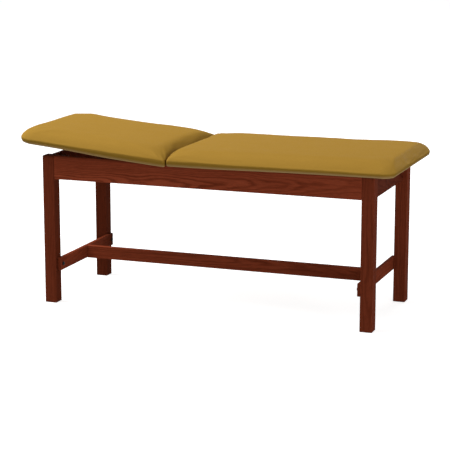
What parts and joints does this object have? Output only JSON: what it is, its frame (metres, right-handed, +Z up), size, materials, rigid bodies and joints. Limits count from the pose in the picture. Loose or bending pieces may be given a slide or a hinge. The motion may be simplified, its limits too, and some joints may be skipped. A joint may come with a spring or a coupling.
{
  "type": "examination table",
  "caption": "Wooden examination table with square legs, a low H stretcher, a padded fixed section and a padded backrest that lifts on a hinge.",
  "frame": {"origin": "on the floor, under the middle of the table's box with the backrest at its rest angle", "axes": "+X along the table towards the foot end, +Y across towards the rear long side, +Z up"},
  "size_m": [1.8222, 0.73, 0.8241],
  "materials": {
    "stained_wood": "dark red-brown stain under a satin lacquer",
    "inner_wood": "bare sanded",
    "vinyl": "mustard-gold upholstery vinyl, fine grain, satin",
    "foam": "open foam",
    "zinc_steel": "zinc plated",
    "black_steel": "black, satin",
    "chrome_rod": "polished",
    "nylon": "matt"
  },
  "bodies": {
    "frame": {"leg_head_front": "stained_wood", "leg_head_rear": "stained_wood", "leg_foot_front": "stained_wood", "leg_foot_rear": "stained_wood", "side_apron_front": "stained_wood", "side_apron_rear": "stained_wood", "end_apron_head": "stained_wood", "end_apron_foot": "stained_wood", "end_stretcher_head": "stained_wood", "end_stretcher_foot": "stained_wood", "long_stretcher": "stained_wood", "corner_block_head_front": "inner_wood", "corner_block_head_rear": "inner_wood", "corner_block_foot_front": "inner_wood", "corner_block_foot_rear": "inner_wood", "corner_lag_bolt_head_front": "zinc_steel", "corner_lag_bolt_head_rear": "zinc_steel", "corner_lag_bolt_foot_front": "zinc_steel", "corner_lag_bolt_foot_rear": "zinc_steel", "stretcher_lag_bolt_head_front": "black_steel", "stretcher_lag_bolt_head_rear": "black_steel", "stretcher_lag_bolt_foot_front": "black_steel", "stretcher_lag_bolt_foot_rear": "black_steel", "cross_rail_hinge": "inner_wood", "cross_rail_foot": "inner_wood", "board_screw_hinge_1": "zinc_steel", "board_screw_hinge_2": "zinc_steel", "board_screw_foot_1": "zinc_steel", "board_screw_foot_2": "zinc_steel", "body_board": "inner_wood", "body_foam": "foam", "body_cover": "vinyl", "hinge_leaf_body": "zinc_steel", "hinge_pin": "zinc_steel", "hinge_screw_body_1": "zinc_steel", "hinge_screw_body_2": "zinc_steel", "hinge_screw_body_3": "zinc_steel", "strut_lower_bolt_front": "zinc_steel", "strut_lower_bolt_rear": "zinc_steel"},
    "backrest": {"backrest_board": "inner_wood", "backrest_foam": "foam", "backrest_cover": "vinyl", "hinge_leaf_backrest": "zinc_steel", "hinge_screw_backrest_1": "zinc_steel", "hinge_screw_backrest_2": "zinc_steel", "hinge_screw_backrest_3": "zinc_steel", "strut_bracket_front": "black_steel", "strut_bracket_rear": "black_steel", "bracket_screw_front_1": "zinc_steel", "bracket_screw_front_2": "zinc_steel", "bracket_screw_rear_1": "zinc_steel", "bracket_screw_rear_2": "zinc_steel", "strut_upper_bolt_front": "zinc_steel", "strut_upper_bolt_rear": "zinc_steel"},
    "strut_tube_front": {"strut_tube_front": "black_steel", "strut_guide_front": "nylon"},
    "strut_tube_rear": {"strut_tube_rear": "black_steel", "strut_guide_rear": "nylon"},
    "strut_rod_front": {"strut_rod_front": "chrome_rod"},
    "strut_rod_rear": {"strut_rod_rear": "chrome_rod"}
  },
  "joints": [
    {"name": "backrest_tilt", "type": "hinge", "parent": "frame", "child": "backrest", "pos_m": [-0.14884, 0, 0.7241], "axis": [0, 1, 0], "range_deg": [-4.9, 55.1]},
    {"name": "strut_tube_front_pivot", "type": "hinge", "parent": "frame", "child": "strut_tube_front", "pos_m": [-0.13969, -0.2835, 0.6195], "axis": [0, 1, 0], "range_deg": [-2.45, 27.55]},
    {"name": "strut_rod_front_pivot", "type": "hinge", "parent": "backrest", "child": "strut_rod_front", "pos_m": [-0.25021, -0.2835, 0.69675], "axis": [0, 1, 0], "range_deg": [-27.55, 2.45]},
    {"name": "strut_tube_rear_pivot", "type": "hinge", "parent": "frame", "child": "strut_tube_rear", "pos_m": [-0.13969, 0.2835, 0.6195], "axis": [0, 1, 0], "range_deg": [-2.45, 27.55]},
    {"name": "strut_rod_rear_pivot", "type": "hinge", "parent": "backrest", "child": "strut_rod_rear", "pos_m": [-0.25021, 0.2835, 0.69675], "axis": [0, 1, 0], "range_deg": [-27.55, 2.45]}
  ],
  "couplings": [
    {"joint": "strut_tube_front_pivot", "follows": "backrest_tilt", "ratio": 0.5},
    {"joint": "strut_rod_front_pivot", "follows": "backrest_tilt", "ratio": -0.5},
    {"joint": "strut_tube_rear_pivot", "follows": "backrest_tilt", "ratio": 0.5},
    {"joint": "strut_rod_rear_pivot", "follows": "backrest_tilt", "ratio": -0.5}
  ]
}
